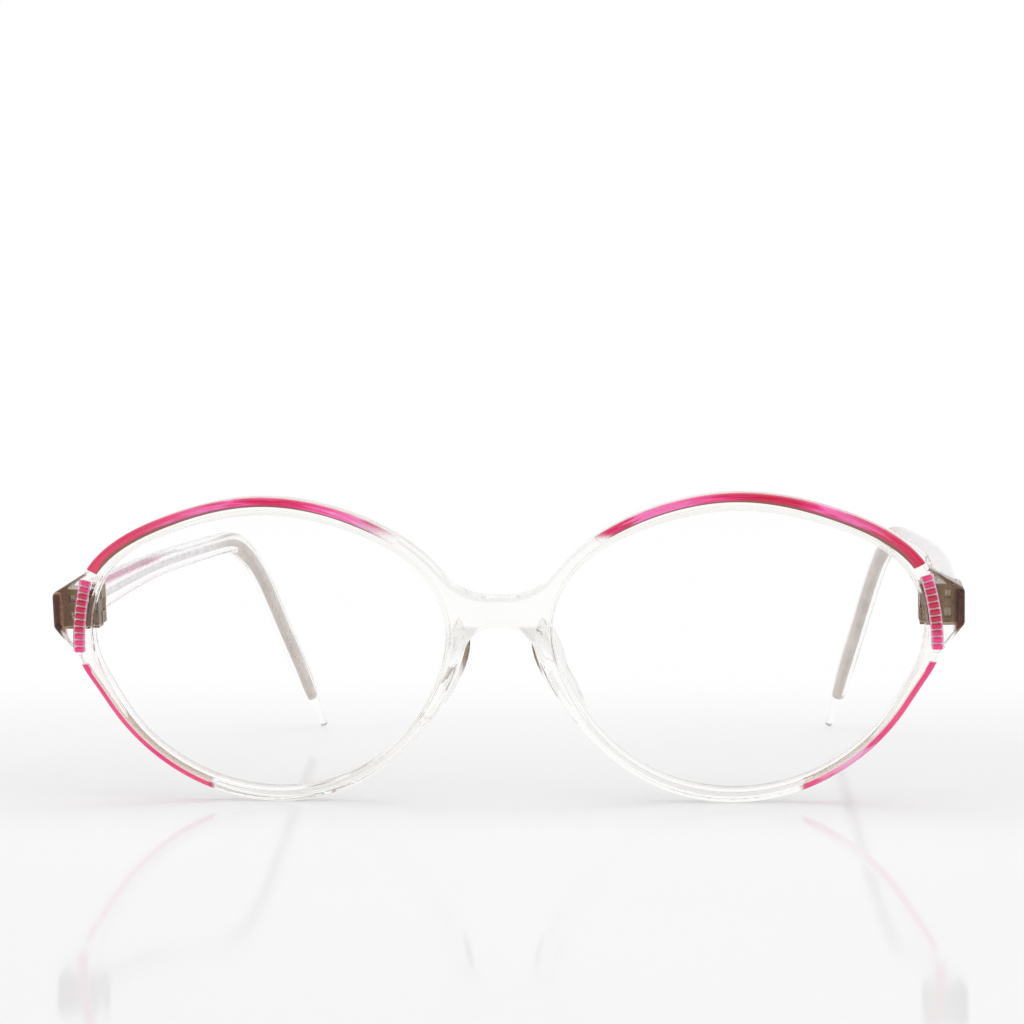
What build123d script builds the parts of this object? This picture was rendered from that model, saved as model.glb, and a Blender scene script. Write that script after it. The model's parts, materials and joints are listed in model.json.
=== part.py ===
from build123d import *
from math import asin, cos, hypot, pi, radians, sin, sqrt, tan
import os

os.makedirs("parts", exist_ok=True)

# Driving sizes of the front, in millimetres and degrees
lens_width = 54.0
lens_height = 42.0
bridge_width = 15.8
lens_centre_v = 22.6
front_lean = 9.0
bow_radius = 1500.0
rim_depth = 3.9
rim_round = 0.7
opening_round = 0.4
rear_round = 0.4
overrun = 4.0

# Bridge and nose pads
bridge_top_v = 30.95
bridge_height = 4.45
bridge_top_corner = 9.0
bridge_arch_corner = 4.7
pad_start_w = 2.4
pad_reach = 5.4
pad_splay = 16.0
pad_end_share = 0.4
pad_section_count = 6

# Lug at each end of the front
lug_reach_x = 67.7
lug_root_x = 62.0
lug_root_v = 35.1
lug_top_v = 31.7
lug_bottom_v = 26.5
lug_foot_x = 64.0
lug_foot_v = 21.9
lug_corner = 1.1
lug_back_w = 7.2
lug_block_x = 61.3
lug_block_start_w = 4.9
lug_block_height = 6.2
lug_block_corner = 0.8

# Lenses
lens_radius = 135.0
lens_thickness = 2.2
lens_gap = 0.05
bevel_reach = 0.6
bevel_inset = 0.5
bevel_thickness = 0.9
bevel_chamfer = 0.25
groove_gap = 0.06

# Enamel bands in rebates of the front
enamel_depth = 1.2
brow_width = 1.2
brow_flare = 0.55
lower_width = 1.0
brow_outer_angle = 25.5
brow_nose_angle = 140.0
lower_outer_angle = -3.4
lower_foot_angle = -66.5

# Column of ribs beside the lug
bead_count = 11
bead_pitch = 1.03
bead_width = 1.3
bead_height = 0.66
bead_proud = 0.2
bead_round = 0.2
bead_arc_radius = 35.7
bead_arc_x = 28.05
bead_foot_v = 23.2
channel_depth = 0.6
channel_side = 0.28

# Hinge
hinge_v = 29.0
hinge_x = 62.4
hinge_stand = 1.5
knuckle_radius = 1.15
knuckle_height = 1.8
knuckle_gap = 0.08
anchor_left_x = 61.6
anchor_right_x = 66.9
anchor_height = 5.6
anchor_thickness = 1.0
anchor_window_height = 1.25
anchor_window_width = 0.95
anchor_slot_width = 0.5
anchor_window_x = 65.3
anchor_slot_x = 62.5
anchor_window_rise = 1.35
leaf_length = 6.5
leaf_height = 3.2
leaf_thickness = 1.0
leaf_proud = 0.5
leaf_corner = 0.5
stud_radius = 0.6
stud_length = 0.7
stud_end_gap = 1.6

# Hinge screw
screw_radius = 0.6
screw_running_gap = 0.04
screw_head_radius = 0.9
screw_head_height = 0.5
screw_slot_width = 0.3
screw_slot_depth = 0.25

# Temple
temple_gap = 0.15
temple_inner_x = 63.9
temple_start_run = 1.6
temple_rise = 5.2
temple_run = 83.0
bend_radius = 18.0
ear_drop = 60.0
butt_height = 5.6
butt_thickness = 3.7
run_height = 4.3
run_thickness = 3.0
ear_height = 4.0
ear_thickness = 2.9
tip_height = 1.5
tip_thickness = 1.4
temple_corner_share = 0.42
temple_bow = 0.8
ear_lean_in = 14.0
lean_in_start_share = 0.49
lean_in_length_share = 0.74
butt_share = 0.08
run_share = 0.55
tip_share = 0.42
tip_round = 0.3
section_count = 20

# Core wire and outer stripe of a temple
wire_start = 2.0
wire_thickness = 1.0
wire_height = 1.2
wire_ear_height = 1.7
wire_cover = 0.5
wire_end_share = 0.12
stripe_height = 0.8
stripe_depth = 0.45
stripe_start = 10.0
stripe_end = 66.0

# Outline of the clear rim round one lens, as shares of half the lens size, from the lens centre
rim_shares = [
    (1.023, -0.180), (1.110, 0.197), (1.020, 0.589), (0.566, 0.980), (0.000, 1.119),
    (-0.556, 0.962), (-0.981, 0.566), (-1.112, 0.196), (-1.042, -0.184), (-0.834, -0.584),
    (-0.451, -0.966), (0.094, -1.069), (0.582, -0.831), (0.859, -0.496),
]
pad_shares = [
    (-1.096, 0.233), (-1.124, 0.062), (-1.096, -0.100), (-1.011, -0.314), (-0.915, -0.476),
    (-0.841, -0.557), (-0.896, -0.386), (-0.976, -0.195), (-1.022, -0.005),
]
opening_shares = [
    (0.933, -0.165), (1.000, 0.176), (0.920, 0.531), (0.507, 0.879), (0.000, 1.001),
    (-0.503, 0.871), (-0.903, 0.521), (-1.000, 0.176), (-0.946, -0.167), (-0.776, -0.544),
    (-0.417, -0.894), (0.086, -0.987), (0.542, -0.774), (0.799, -0.461),
]

# Sizes that follow
lens_x = (lens_width + bridge_width) / 2
bridge_middle_v = bridge_top_v - bridge_height / 2
lean = radians(front_lean)
lens_tilt = asin(lens_x / bow_radius)


def bow_at(x, depth=0.0):
    """Depth behind the middle of the front, at a place x, of the bowed surface a depth inside it"""
    return bow_radius - sqrt((bow_radius - depth) ** 2 - x ** 2)


def sag(radius):
    """How far a lens surface falls back at a radius from its middle"""
    return lens_radius - sqrt(lens_radius ** 2 - radius ** 2)


def oval(shares, moved=0.0, flare=0.0):
    """Points of a closed outline round the left lens, moved outwards, and further at its outer end"""
    points = [(lens_x + x * lens_width / 2, lens_centre_v + v * lens_height / 2) for x, v in shares]
    result = []
    for i, (x, v) in enumerate(points):
        before = points[i - 1]
        after = points[(i + 1) % len(points)]
        run = hypot(after[0] - before[0], after[1] - before[1])
        step = moved + flare * max(shares[i][0], 0)
        result.append((x + step * (after[1] - before[1]) / run, v - step * (after[0] - before[0]) / run))
    return result


def oval_sketch(shares, moved=0.0, flare=0.0):
    """Sketch of one closed outline round the left lens"""
    with BuildSketch(Plane.XY, mode=Mode.PRIVATE) as shape:
        with BuildLine():
            Spline(*oval(shares, moved, flare), periodic=True)
        make_face()
    return shape.sketch


rim_face = oval_sketch(rim_shares)
opening_face = oval_sketch(opening_shares)
rim_top_v = rim_face.bounding_box().max.Y
rim_foot_v = rim_face.bounding_box().min.Y

# The rims stand on their lower front edges, and the temples on their tips
round_centre_w = bow_at(lens_x) + rim_round
rest_lift = rim_round - round_centre_w * sin(lean) - (rim_foot_v + rim_round) * cos(lean)
bend_turn = temple_rise + ear_drop
slope = radians(temple_rise)
drop = radians(ear_drop)
hinge_w = lug_back_w + hinge_stand
butt_w = lug_back_w + temple_gap
butt_y = butt_w * cos(lean) - hinge_v * sin(lean)
butt_z = rest_lift + butt_w * sin(lean) + hinge_v * cos(lean)
bend_start_z = butt_z + temple_run * sin(slope)
bend_end_z = bend_start_z - bend_radius * (cos(slope) - cos(drop))
rounded_off = tip_round * (sin(drop) + cos(drop) - 1)
ear_length = (bend_end_z - tip_height / 2 * cos(drop) + rounded_off) / sin(drop)
tip_y = butt_y + temple_run * cos(slope) + bend_radius * (sin(slope) + sin(drop)) + ear_length * cos(drop)
rear_y = tip_y + tip_height / 2 * sin(drop) - rounded_off
brow_y = round_centre_w * cos(lean) - (rim_top_v - rim_round) * sin(lean) - rim_round
front_y = -(brow_y + rear_y) / 2

# Planes of the front: its face, its plan and its side
across = Vector(1, 0, 0)
up = Vector(0, -sin(lean), cos(lean))
back = Vector(0, cos(lean), sin(lean))
foot = Vector(0, front_y, rest_lift)
front_plane = Plane(origin=foot, x_dir=across, z_dir=back * -1)
plan_plane = Plane(origin=foot, x_dir=across, z_dir=up)
side_plane = Plane(origin=foot, x_dir=back, z_dir=across)


def bow_slab(near, far):
    """A slab that follows the bow of the front, between two depths inside its face"""
    half = lug_reach_x + overrun
    with BuildPart() as slab:
        with BuildSketch(plan_plane.offset(-overrun)):
            with BuildLine():
                face_arc = ThreePointArc((-half, bow_at(half, near)), (0, near), (half, bow_at(half, near)))
                rear_arc = ThreePointArc((half, bow_at(half, far)), (0, far), (-half, bow_at(half, far)))
                Line(face_arc @ 1, rear_arc @ 0)
                Line(rear_arc @ 1, face_arc @ 0)
            make_face()
        extrude(amount=rim_top_v + 2 * overrun)
    return slab.part


def fan(start, end):
    """Face of a sector about the left lens centre, between two angles"""
    reach = lens_width
    middle = (start + end) / 2
    with BuildSketch(Plane.XY, mode=Mode.PRIVATE) as sector:
        with BuildLine():
            rim = ThreePointArc(*[
                (lens_x + reach * cos(radians(a)), lens_centre_v + reach * sin(radians(a)))
                for a in (start, middle, end)
            ])
            Polyline(rim @ 1, (lens_x, lens_centre_v), rim @ 0)
        make_face()
    return sector.sketch


whole_slab = bow_slab(0, rim_depth)
enamel_slab = bow_slab(-overrun, enamel_depth)

# Front blank: rims, bridge and lugs in one outline, cut to the bow and rounded
with BuildSketch(Plane.XY) as lug:
    with BuildLine():
        lug_edge = FilletPolyline(
            (lug_root_x, lug_root_v), (lug_reach_x, lug_top_v), (lug_reach_x, lug_bottom_v),
            (lug_foot_x, lug_foot_v), radius=lug_corner,
        )
        Polyline(lug_edge @ 1, (lens_x, lens_centre_v), lug_edge @ 0)
    make_face()

with BuildPart() as blank:
    with BuildSketch(front_plane.offset(overrun)) as outline:
        add(rim_face)
        add(lug.sketch)
        mirror(about=Plane.YZ)
        with Locations((0, bridge_middle_v)):
            Rectangle(bridge_width, bridge_height)
        near = [p for p in outline.vertices() if abs(p.X) < bridge_width / 2]
        fillet([p for p in near if p.Y > bridge_middle_v], radius=bridge_top_corner)
        near = [p for p in outline.vertices() if abs(p.X) < bridge_width / 2]
        fillet([p for p in near if p.Y < bridge_middle_v], radius=bridge_arch_corner)
        add(opening_face, mode=Mode.SUBTRACT)
        mirror(opening_face, about=Plane.YZ, mode=Mode.SUBTRACT)
    extrude(amount=-(2 * overrun + rim_depth))
    add(whole_slab, mode=Mode.INTERSECT)
    face = blank.faces().sort_by(Axis(foot, back))[0]
    fillet(face.outer_wire().edges(), radius=rim_round)
    face = blank.faces().sort_by(Axis(foot, back))[0]
    fillet([e for w in face.inner_wires() for e in w.edges()], radius=opening_round)
    face = blank.faces().sort_by(Axis(foot, back))[-1]
    fillet(face.outer_wire().edges(), radius=rear_round)

# Lug block: the lug carried back to the hinge
with BuildPart() as lug_block:
    with BuildSketch(front_plane.offset(-lug_block_start_w)):
        block_width = lug_reach_x - lug_block_x + lug_block_corner
        with Locations((lug_block_x + block_width / 2, hinge_v)):
            Rectangle(block_width, lug_block_height)
        add(lug.sketch, mode=Mode.INTERSECT)
    extrude(amount=-(lug_back_w - lug_block_start_w))

def pad_outline(share, splayed):
    """Crescent outline of a nose pad, made smaller about its middle and moved outwards"""
    points = [(lens_x + x * lens_width / 2, lens_centre_v + v * lens_height / 2) for x, v in pad_shares]
    middle_x = sum(x for x, v in points) / len(points)
    middle_v = sum(v for x, v in points) / len(points)
    return [
        (middle_x + (x - middle_x) * share + splayed, middle_v + (v - middle_v) * share) for x, v in points
    ]


# Nose pad: a crescent fin behind the nose side of a rim, splayed outwards and smaller towards its edge
with BuildPart() as pad:
    for i in range(pad_section_count):
        inwards_share = i / (pad_section_count - 1)
        size_share = sqrt(1 - inwards_share ** 2 * (1 - pad_end_share ** 2))
        depth = pad_reach * inwards_share
        with BuildSketch(front_plane.offset(-pad_start_w - depth)):
            with BuildLine():
                Spline(*pad_outline(size_share, depth * tan(radians(pad_splay))), periodic=True)
            make_face()
    loft()

# Lens: a curved disc, with a bevelled edge for the groove of the rim
bevel_near = (rim_depth - bevel_thickness) / 2
bevel_far = (rim_depth + bevel_thickness) / 2
bevel_slab = bow_slab(bevel_near, bevel_far)
groove_slab = bow_slab(bevel_near - groove_gap, bevel_far + groove_gap)
lens_set = (rim_depth - lens_thickness) / 2 - (sag(lens_width / 2) + sag(lens_height / 2)) / 2
sphere_x = lens_x - (lens_set + lens_radius) * sin(lens_tilt)
sphere_w = bow_at(lens_x) + (lens_set + lens_radius) * cos(lens_tilt)
sphere_centre = front_plane.from_local_coords((sphere_x, lens_centre_v, -sphere_w))

with BuildPart() as bevel:
    with BuildSketch(front_plane.offset(overrun)):
        add(oval_sketch(opening_shares, bevel_reach))
        add(oval_sketch(opening_shares, -bevel_inset), mode=Mode.SUBTRACT)
    extrude(amount=-(2 * overrun + rim_depth))
    add(bevel_slab, mode=Mode.INTERSECT)
    chamfer(bevel.edges().sort_by(SortBy.LENGTH)[-2:], length=bevel_chamfer)

with BuildPart() as lens_left:
    with BuildSketch(front_plane.offset(overrun)):
        add(oval_sketch(opening_shares, -lens_gap))
    extrude(amount=-(2 * overrun + rim_depth))
    with Locations(sphere_centre):
        Sphere(lens_radius, mode=Mode.INTERSECT)
        Sphere(lens_radius - lens_thickness, mode=Mode.SUBTRACT)
    add(bevel.part)

with BuildPart() as groove:
    with BuildSketch(front_plane.offset(overrun)):
        add(oval_sketch(opening_shares, bevel_reach + groove_gap))
        add(oval_sketch(opening_shares, -bevel_inset), mode=Mode.SUBTRACT)
    extrude(amount=-(2 * overrun + rim_depth))
    add(groove_slab, mode=Mode.INTERSECT)


def band(width, flare, start, end):
    """Rebate for one enamel band: a stretch of the rim's outer front corner"""
    with BuildPart() as rebate:
        with BuildSketch(front_plane.offset(overrun)):
            add(oval_sketch(rim_shares, overrun / 2))
            add(oval_sketch(rim_shares, -width, -flare), mode=Mode.SUBTRACT)
            add(fan(start, end), mode=Mode.INTERSECT)
        extrude(amount=-(2 * overrun))
        add(enamel_slab, mode=Mode.INTERSECT)
    return rebate.part


brow_band = band(brow_width, brow_flare, brow_outer_angle, brow_nose_angle)
lower_band = band(lower_width, 0, lower_foot_angle, lower_outer_angle)

with BuildPart() as brow_enamel_left:
    add(blank.part)
    add(brow_band, mode=Mode.INTERSECT)

with BuildPart() as lower_enamel_left:
    add(blank.part)
    add(lower_band, mode=Mode.INTERSECT)

# Ribs: short rounded bars that stand on the floor of a curved channel
bead_turn = bead_pitch / bead_arc_radius
bead_angles = [i * bead_turn for i in range(bead_count)]
bead_places = [
    Location(
        (bead_arc_x + bead_arc_radius * cos(a), bead_foot_v + bead_arc_radius * sin(a), 0),
        (0, 0, a * 180 / pi),
    )
    for a in bead_angles
]
channel_floor_w = bow_at(bead_arc_x + bead_arc_radius) + channel_depth

bead_arc = CenterArc((bead_arc_x, bead_foot_v), bead_arc_radius, 0, bead_angles[-1] * 180 / pi)

with BuildPart() as channel:
    with BuildSketch(front_plane.offset(-channel_floor_w)):
        SlotArc(bead_arc, bead_width + 2 * channel_side)
    extrude(amount=channel_floor_w + overrun)

with BuildPart() as rib_beads_left:
    with BuildSketch(front_plane.offset(-channel_floor_w)):
        with Locations(*bead_places):
            Rectangle(bead_width, bead_height)
    extrude(amount=channel_depth + bead_proud)
    fillet(rib_beads_left.edges().group_by(Axis(foot, back))[0], radius=bead_round)


def knuckle(level):
    """Sketch plane at the foot of a hinge knuckle, counted from the middle one"""
    return plan_plane.offset(hinge_v + level * (knuckle_height + knuckle_gap) - knuckle_height / 2)


# Front hinge leaf: an anchor with windows inside the lug, and two knuckles behind it
with BuildPart() as front_hinge_left:
    with BuildSketch(front_plane.offset(-lug_back_w)):
        with Locations(((anchor_left_x + anchor_right_x) / 2, hinge_v)):
            Rectangle(anchor_right_x - anchor_left_x, anchor_height)
        for rise in (anchor_window_rise, -anchor_window_rise):
            with Locations((anchor_window_x, hinge_v + rise)):
                Rectangle(anchor_window_width, anchor_window_height, mode=Mode.SUBTRACT)
            with Locations((anchor_slot_x, hinge_v + rise)):
                Rectangle(anchor_slot_width, anchor_window_height, mode=Mode.SUBTRACT)
    extrude(amount=anchor_thickness)
    for level in (1, -1):
        with BuildSketch(knuckle(level)):
            with Locations((hinge_x, hinge_w)):
                Circle(knuckle_radius)
            with Locations((hinge_x, hinge_w)):
                Rectangle(
                    2 * knuckle_radius, hinge_stand + anchor_thickness / 2,
                    align=(Align.CENTER, Align.MAX),
                )
        extrude(amount=knuckle_height)
    with BuildSketch(knuckle(-1)):
        with Locations((hinge_x, hinge_w)):
            Circle(screw_radius)
    extrude(amount=knuckle_height, mode=Mode.SUBTRACT)
    with BuildSketch(knuckle(1)):
        with Locations((hinge_x, hinge_w)):
            Circle(screw_radius + screw_running_gap)
    extrude(amount=knuckle_height, mode=Mode.SUBTRACT)

# Temple hinge leaf: one knuckle, an arm and a leaf with two studs in the temple
leaf_x = temple_inner_x - leaf_proud
leaf_start_w = hinge_w + knuckle_radius + temple_gap
with BuildPart() as temple_hinge_left:
    with BuildSketch(side_plane.offset(leaf_x)):
        with Locations((leaf_start_w + leaf_length / 2, hinge_v)):
            RectangleRounded(leaf_length, leaf_height, leaf_corner)
    extrude(amount=leaf_thickness)
    with BuildSketch(side_plane.offset(leaf_x)):
        with Locations(
            (leaf_start_w + stud_end_gap, hinge_v), (leaf_start_w + leaf_length - stud_end_gap, hinge_v)
        ):
            Circle(stud_radius)
    extrude(amount=leaf_thickness + stud_length)
    with BuildSketch(knuckle(0)):
        with Locations((hinge_x, hinge_w)):
            Circle(knuckle_radius)
            Rectangle(
                leaf_x + leaf_thickness - hinge_x, knuckle_radius + temple_gap + leaf_corner,
                align=(Align.MIN, Align.MIN),
            )
    extrude(amount=knuckle_height)
    with BuildSketch(knuckle(0)):
        with Locations((hinge_x, hinge_w)):
            Circle(screw_radius + screw_running_gap)
    extrude(amount=knuckle_height, mode=Mode.SUBTRACT)

# Hinge screw: threaded into the lower front knuckle, its slotted head on the upper one
screw_foot_v = hinge_v - 1.5 * knuckle_height - knuckle_gap
screw_length = 3 * knuckle_height + 2 * knuckle_gap
with BuildPart() as hinge_screw_left:
    with BuildSketch(plan_plane.offset(screw_foot_v)):
        with Locations((hinge_x, hinge_w)):
            Circle(screw_radius)
    extrude(amount=screw_length)
    with BuildSketch(plan_plane.offset(screw_foot_v + screw_length)):
        with Locations((hinge_x, hinge_w)):
            Circle(screw_head_radius)
    extrude(amount=screw_head_height)
    with BuildSketch(plan_plane.offset(screw_foot_v + screw_length + screw_head_height)):
        with Locations((hinge_x, hinge_w)):
            Rectangle(2 * screw_head_radius, screw_slot_width)
    extrude(amount=-screw_slot_depth, mode=Mode.SUBTRACT)

# Front: the blank with its blocks and pads, less all that is let into it
with BuildPart() as let_in:
    add(groove.part)
    add(channel.part)
    add(brow_band)
    add(lower_band)
    add(front_hinge_left.part)

with BuildPart() as front:
    add(blank.part)
    add(lug_block.part)
    mirror(lug_block.part, about=Plane.YZ)
    add(pad.part)
    mirror(pad.part, about=Plane.YZ)
    add(let_in.part, mode=Mode.SUBTRACT)
    mirror(let_in.part, about=Plane.YZ, mode=Mode.SUBTRACT)

# Temple: sections along a run, a bend over the ear and a drop to the tip
bend_length = bend_radius * radians(bend_turn)
temple_length = temple_run + bend_length + ear_length
temple_x = temple_inner_x + butt_thickness / 2


def temple_point(run):
    """Middle of the temple, a distance along it from the butt end"""
    if run <= temple_run:
        y = butt_y + run * cos(slope)
        z = butt_z + run * sin(slope)
    else:
        angle = slope - min(run - temple_run, bend_length) / bend_radius
        y = butt_y + temple_run * cos(slope) + bend_radius * (sin(slope) - sin(angle))
        z = bend_start_z + bend_radius * (cos(angle) - cos(slope))
        beyond = max(run - temple_run - bend_length, 0)
        y += beyond * cos(drop)
        z -= beyond * sin(drop)
    bowed = temple_bow * sin(pi * min(max(run / temple_run, 0), 1)) ** 2
    start = lean_in_start_share * temple_run
    length = lean_in_length_share * temple_run
    eased = min(max(run - start, 0), length)
    inwards = tan(radians(ear_lean_in)) * (eased ** 2 / (2 * length) + max(run - start - length, 0))
    return Vector(temple_x + bowed - inwards, front_y + y, z)


def temple_plane(run):
    """Plane square to the temple, a distance along it"""
    step = temple_gap
    tangent = temple_point(run + step) - temple_point(run - step)
    return Plane(origin=temple_point(run), x_dir=across, z_dir=tangent)


temple_sizes = [
    (-temple_start_run, butt_height, butt_thickness),
    (temple_run * butt_share, butt_height, butt_thickness),
    (temple_run * run_share, run_height, run_thickness),
    (temple_run, ear_height, ear_thickness),
    (temple_length - ear_length * tip_share, ear_height, ear_thickness),
    (temple_length, tip_height, tip_thickness),
]


def temple_size(run):
    """Height and thickness of the temple, a distance along it"""
    for near, far in zip(temple_sizes, temple_sizes[1:]):
        if run <= far[0]:
            share = (run - near[0]) / (far[0] - near[0])
            return near[1] + (far[1] - near[1]) * share, near[2] + (far[2] - near[2]) * share
    return tip_height, tip_thickness


def wire_size(run):
    """Height and thickness of the core wire, which widens through the bend and narrows at the tip"""
    share = min(max((run - temple_run) / bend_length, 0), 1)
    height, thickness = temple_size(run)
    widened = wire_height + (wire_ear_height - wire_height) * share
    return min(widened, height - 2 * wire_cover), min(wire_thickness, thickness - 2 * wire_cover)


def temple_form(runs, size):
    """Solid through rounded sections along the temple"""
    with BuildPart() as form:
        for run in runs:
            height, thickness = size(run)
            with BuildSketch(temple_plane(run)):
                RectangleRounded(thickness, height, min(thickness, height) * temple_corner_share)
        loft()
    return form.part


section_step = (temple_length + temple_start_run) / section_count
section_runs = [i * section_step - temple_start_run for i in range(section_count + 1)]
wire_end = temple_length - ear_length * wire_end_share
body_form = temple_form(section_runs, temple_size)
butt_plane = front_plane.offset(-butt_w)

with BuildPart() as core_wire_left:
    add(temple_form([run for run in section_runs if wire_start < run < wire_end], wire_size))

with BuildPart() as temple_stripe_left:
    for run in [run for run in section_runs if stripe_start < run < stripe_end]:
        with BuildSketch(temple_plane(run)):
            with Locations((temple_size(run)[1] / 2 - stripe_depth, 0)):
                Rectangle(butt_thickness, stripe_height, align=(Align.MIN, Align.CENTER))
    loft()
    add(body_form, mode=Mode.INTERSECT)

with BuildPart() as temple_left:
    add(body_form)
    split(bisect_by=butt_plane, keep=Keep.BOTTOM)
    fillet(temple_left.faces().sort_by(Axis.Y)[-1].edges(), radius=tip_round)
    add(core_wire_left.part, mode=Mode.SUBTRACT)
    add(temple_stripe_left.part, mode=Mode.SUBTRACT)
    add(temple_hinge_left.part, mode=Mode.SUBTRACT)


def finish(part, name):
    """Label one piece and write it"""
    part.label = name
    export_step(part, f"parts/{name}.step")
    box = part.bounding_box()
    print(f"{name:20s} {len(part.solids()):3d} {part.volume:9.2f} {part.is_valid} {box.min} {box.max}")


pairs = {
    "lens": lens_left,
    "brow_enamel": brow_enamel_left,
    "lower_enamel": lower_enamel_left,
    "rib_beads": rib_beads_left,
    "front_hinge": front_hinge_left,
    "temple_hinge": temple_hinge_left,
    "hinge_screw": hinge_screw_left,
    "temple": temple_left,
    "core_wire": core_wire_left,
    "temple_stripe": temple_stripe_left,
}
finish(front.part, "front")
for name, piece in pairs.items():
    with BuildPart() as twin:
        mirror(piece.part, about=Plane.YZ)
    finish(piece.part, name + "_left")
    finish(twin.part, name + "_right")

print("hinge axis", plan_plane.offset(hinge_v).from_local_coords((hinge_x, hinge_w)), "along", up)
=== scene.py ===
import json
from math import atan2, cos, hypot, pi, radians, sin
import bmesh
import bpy
from bpy.props import FloatProperty, FloatVectorProperty, IntProperty, PointerProperty
from mathutils import Matrix, Vector


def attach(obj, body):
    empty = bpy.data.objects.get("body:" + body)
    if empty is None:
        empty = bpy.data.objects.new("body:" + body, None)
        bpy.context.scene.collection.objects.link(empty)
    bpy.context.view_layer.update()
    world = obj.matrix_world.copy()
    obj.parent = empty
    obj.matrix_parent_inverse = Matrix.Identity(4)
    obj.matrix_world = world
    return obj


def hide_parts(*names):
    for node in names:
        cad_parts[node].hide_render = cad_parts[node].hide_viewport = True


bl_info = {
    "name": "Oval eyeglasses",
    "version": (1, 0, 0),
    "blender": (4, 5, 0),
    "location": "3D View > Sidebar > Eyeglasses",
    "description": "Dresses the packed model of a pair of clear oval eyeglasses with pink bands",
    "category": "Object",
}

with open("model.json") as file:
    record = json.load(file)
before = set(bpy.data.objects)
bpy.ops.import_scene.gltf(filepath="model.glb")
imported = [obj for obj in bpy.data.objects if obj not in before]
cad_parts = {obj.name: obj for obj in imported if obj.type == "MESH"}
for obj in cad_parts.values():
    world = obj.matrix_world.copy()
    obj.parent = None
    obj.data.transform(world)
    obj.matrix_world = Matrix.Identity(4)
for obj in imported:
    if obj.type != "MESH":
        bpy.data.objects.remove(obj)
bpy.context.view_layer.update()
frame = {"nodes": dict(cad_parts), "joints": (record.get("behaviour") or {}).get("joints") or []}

MM = 0.001
SIDES = {"left": 1, "right": -1}
WHITE = (1, 1, 1)
MIDDLE = 0.5

# Directions of the front, which leans back as it stands on the table
LEAN = radians(9.0)
ACROSS = Vector((1, 0, 0))
UP = Vector((0, -sin(LEAN), cos(LEAN)))
BACK = Vector((0, cos(LEAN), sin(LEAN)))


def way(x, v, w):
    """The way across, up along and back on the front, from millimetres"""
    return MM * (x * ACROSS + v * UP + w * BACK)


# The hinge and the middle of the lens, in millimetres across, up along and back
HINGE_AT = (62.4, 29.0, 8.7)
LENS_X = 34.9
LENS_V = 22.6

# The foot of the front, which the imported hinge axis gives
HINGES = {joint["child"]: Vector(joint["pos_m"]) for joint in frame["joints"]}
FOOT = HINGES["temple_left"] - way(*HINGE_AT)

# Points of a node's mesh closer than this are merged
MERGE_GAP = 0.002 * MM

# Bump of a moulded surface, and the noise that sets its gloss
BUMP_DEPTH = 0.2 * MM
GLOSS_SCALE = 420.0
GLOSS_NOISE = (0.35, 0.7)

# Mirror bounces after which a ray passes straight through clear plastic
TRAPPED_BOUNCES = 2.5

# How much rougher clear plastic is where it is frosted
FROST_SHARE = 0.5

# Streaks of the enamel: how many along and across a band, and how far they shift its colours
STREAKS_ALONG = 9.0
STREAKS_ACROSS = 4.0
STREAK_SHIFT = 0.5

# Shares of a band's width over which its outer edge turns darker, and the patches where it does
EDGE_RISE = (0.62, 1.0)
EDGE_PATCHES = (0.35, 0.6)

# Softness and strength of a band's inner line, which paints the shade and light of the enamel's inner wall,
# and the slant of its faded end
PAINTED_LINE_SOFTNESS = 0.12
PAINTED_LINE_STRENGTH = 0.85
END_SLANT = 0.03


def place(x, v, w):
    """A point from millimetres across, up along and back from the front's own face"""
    return FOOT + way(x, v, w)


def front_numbers(point):
    """The millimetres across, up along and back of a point"""
    offset = (point - FOOT) / MM
    return offset.dot(ACROSS), offset.dot(UP), offset.dot(BACK)


def shade(red, green, blue):
    """A colour read off a screen, 0 to 255, as linear light"""
    return tuple((c / 255) ** 2.2 for c in (red, green, blue))


def toned(colour, share):
    """A colour made darker or brighter by a share"""
    return tuple(min(c * share, 1) for c in colour)


def colour_property(name, description, colour):
    """A colour that a user may change"""
    return FloatVectorProperty(
        name=name, description=description, subtype="COLOR", size=3, min=0, max=1, default=colour,
    )


def length_property(name, description, size):
    """A length that a user may change, given in millimetres"""
    return FloatProperty(
        name=name, description=description, subtype="DISTANCE", unit="LENGTH", min=0, default=size * MM,
    )


def power_property(name, description, power):
    """The power of a lamp that a user may change"""
    return FloatProperty(
        name=name, description=description, subtype="POWER", unit="POWER", min=0, default=power,
    )


# Sizes and colours that a user would change


class PlasticSettings(bpy.types.PropertyGroup):
    """Clear plastic of the front, the lenses and the temples"""
    clear_tint: colour_property("Clear tint", "Clear plastic of the front", (0.986, 0.98, 0.966))
    lug_tint: colour_property("Lug tint", "Thick plastic in front of the hinges", shade(96, 76, 56))
    cap_tint: colour_property("Lug cap tint", "Outer end of the lugs", shade(96, 50, 32))
    # Painted shade: a brown tint on the walls of the nose arch stands for the shade seen on them, over the
    # warm tint of the plastic
    arch_painted_shade: colour_property("Arch tint", "Walls of the nose arch, under the bridge", shade(112, 92, 66))
    temple_tint: colour_property("Temple tint", "Clear plastic of the temples", (0.985, 0.98, 0.982))
    lens_tint: colour_property("Lens tint", "Clear lenses", (0.998, 1.0, 1.0))
    plastic_ior: FloatProperty(
        name="Plastic index", description="Index of refraction of the front and the temples",
        min=1, max=2, default=1.47,
    )
    lens_ior: FloatProperty(
        name="Lens index", description="Index of the lenses, low as on a coated lens",
        min=1, max=2, default=1.2,
    )
    smooth_angle: FloatProperty(
        name="Smoothing angle", description="Edges flatter than this are shaded smooth",
        subtype="ANGLE", unit="ROTATION", min=0, max=pi, default=radians(40),
    )


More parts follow.
